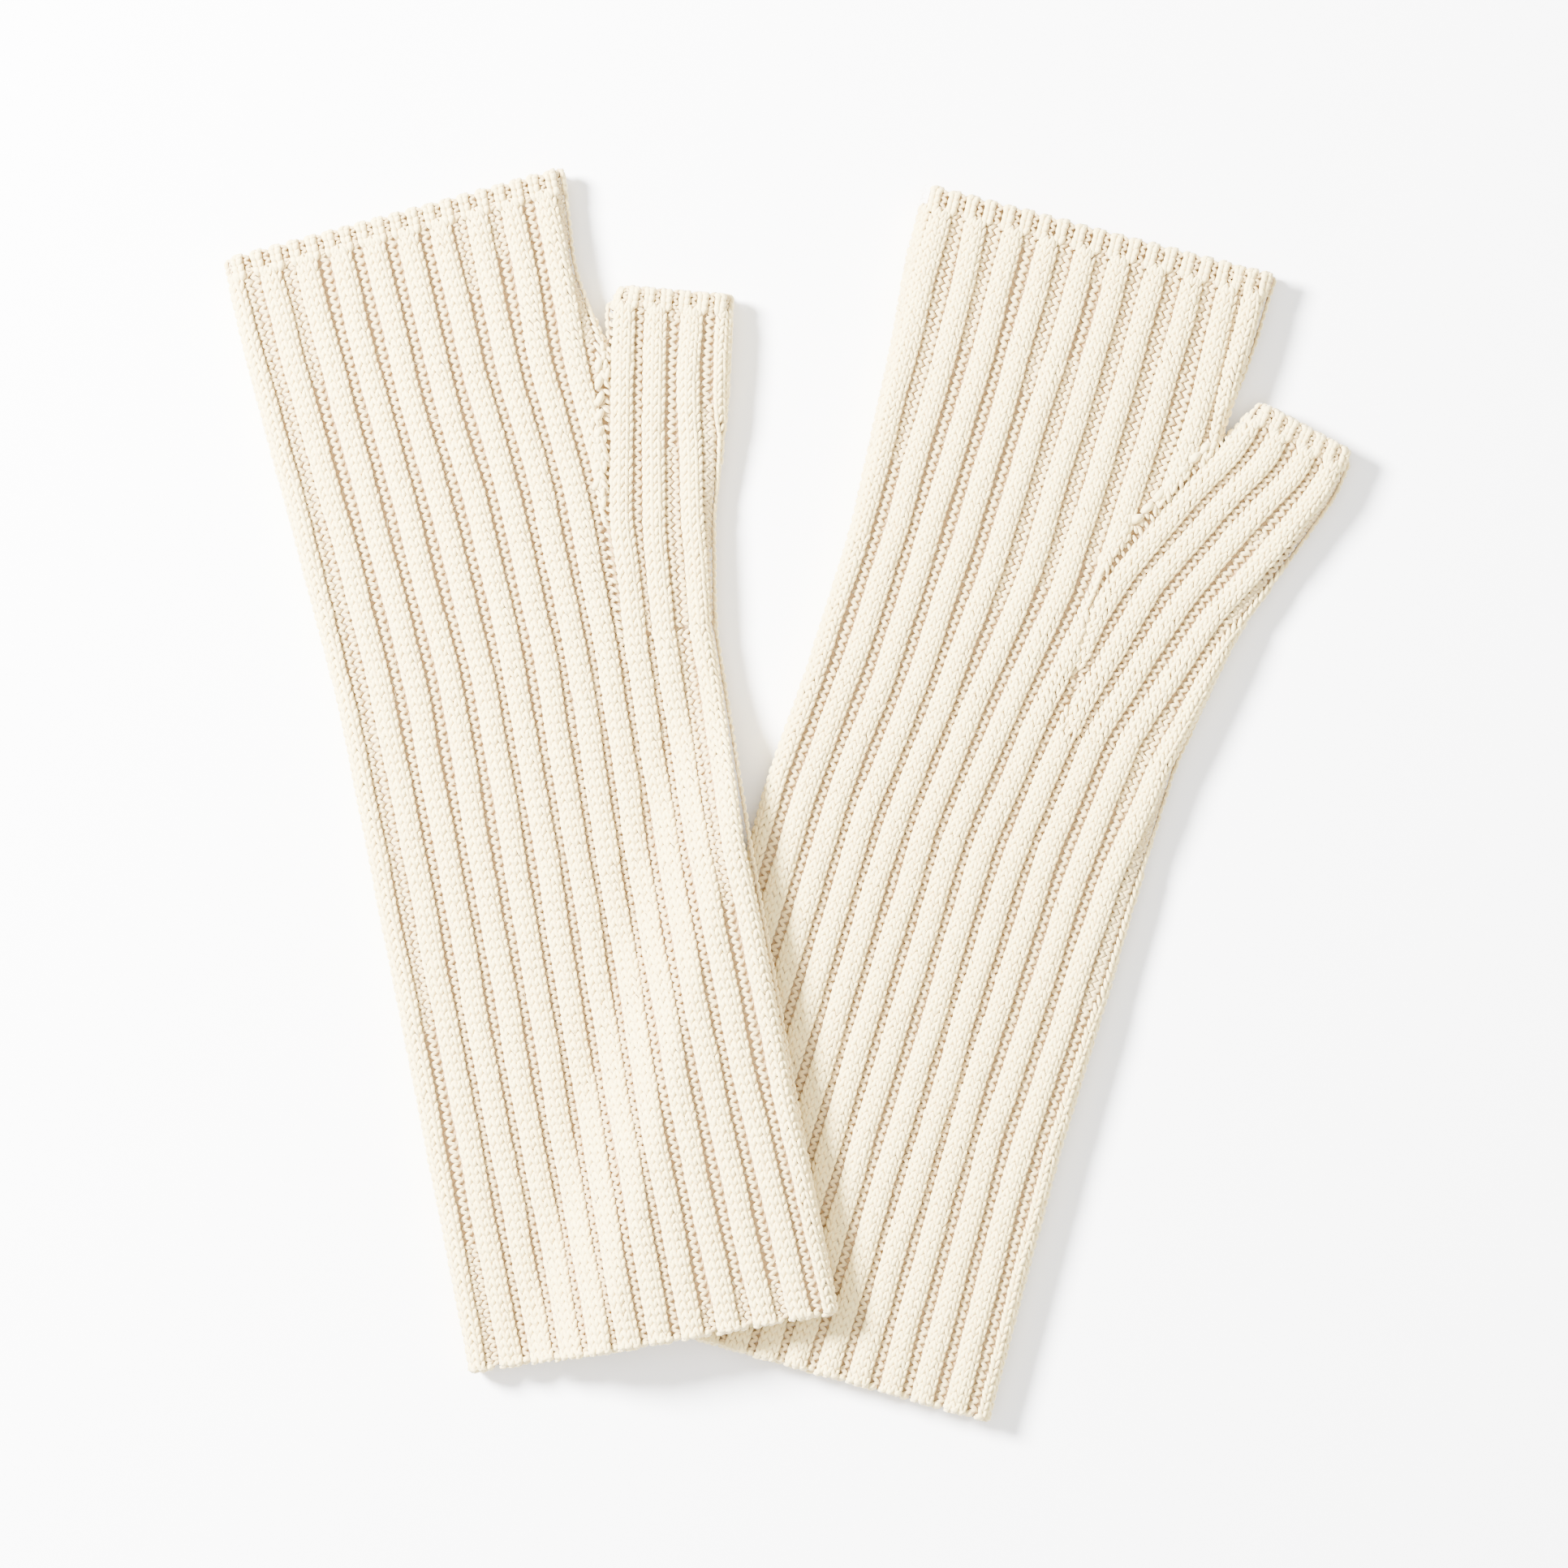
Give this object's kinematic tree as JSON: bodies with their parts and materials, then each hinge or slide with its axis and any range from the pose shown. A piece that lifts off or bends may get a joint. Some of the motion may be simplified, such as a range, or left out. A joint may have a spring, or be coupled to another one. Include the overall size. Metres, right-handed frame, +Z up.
{
  "type": "fingerless gloves",
  "caption": "Pair of long wide-ribbed knitted fingerless gloves with short thumbs and narrow rib bands, lying flat with one glove partly over the other.",
  "frame": {"origin": "middle of the pair's footprint, on the table the gloves lie on", "axes": "+Z up from the table, +Y from the cuffs towards the fingers, +X across the pair towards the thumbs"},
  "size_m": [0.2913, 0.3238, 0.0207],
  "materials": {
    "wide_rib": "soft brushed wool, wide rib knit, ivory",
    "one_and_one_rib": "soft brushed wool, one-and-one rib knit, ivory",
    "linked_seam": "the same yarn, linked loop by loop",
    "cast_on": "the same yarn, cast-on edge"
  },
  "bodies": {
    "lower_glove": {"lower_front_panel": "wide_rib", "lower_back_panel": "wide_rib", "lower_outer_fold": "wide_rib", "lower_arm_seam_edge": "linked_seam", "lower_thumb_seam_edge": "linked_seam", "lower_hand_seam_edge": "linked_seam", "lower_gusset_front": "wide_rib", "lower_gusset_back": "wide_rib", "lower_finger_band": "one_and_one_rib", "lower_cast_on_edge": "cast_on"},
    "lower_thumb": {"lower_thumb_tube": "wide_rib", "lower_thumb_band": "one_and_one_rib"},
    "upper_glove": {"upper_front_panel": "wide_rib", "upper_back_panel": "wide_rib", "upper_outer_fold": "wide_rib", "upper_arm_seam_edge": "linked_seam", "upper_thumb_seam_edge": "linked_seam", "upper_hand_seam_edge": "linked_seam", "upper_gusset_front": "wide_rib", "upper_gusset_back": "wide_rib", "upper_finger_band": "one_and_one_rib", "upper_cast_on_edge": "cast_on"},
    "upper_thumb": {"upper_thumb_tube": "wide_rib", "upper_thumb_band": "one_and_one_rib"}
  },
  "joints": [
    {"name": "upper_glove_lift", "type": "slide", "parent": "lower_glove", "child": "upper_glove", "axis": [0, 0, 1], "range_m": [0, 0.1]},
    {"name": "lower_thumb_swing", "type": "hinge", "parent": "lower_glove", "child": "lower_thumb", "pos_m": [0.122, 0.0759, 0.005], "axis": [0, 0, -1], "range_deg": [0, 15], "stiffness_Nm_per_rad": 0.02},
    {"name": "upper_thumb_swing", "type": "hinge", "parent": "upper_glove", "child": "upper_thumb", "pos_m": [-0.0306, 0.105, 0.005], "axis": [0, 0, -1], "range_deg": [0, 15], "stiffness_Nm_per_rad": 0.02}
  ]
}
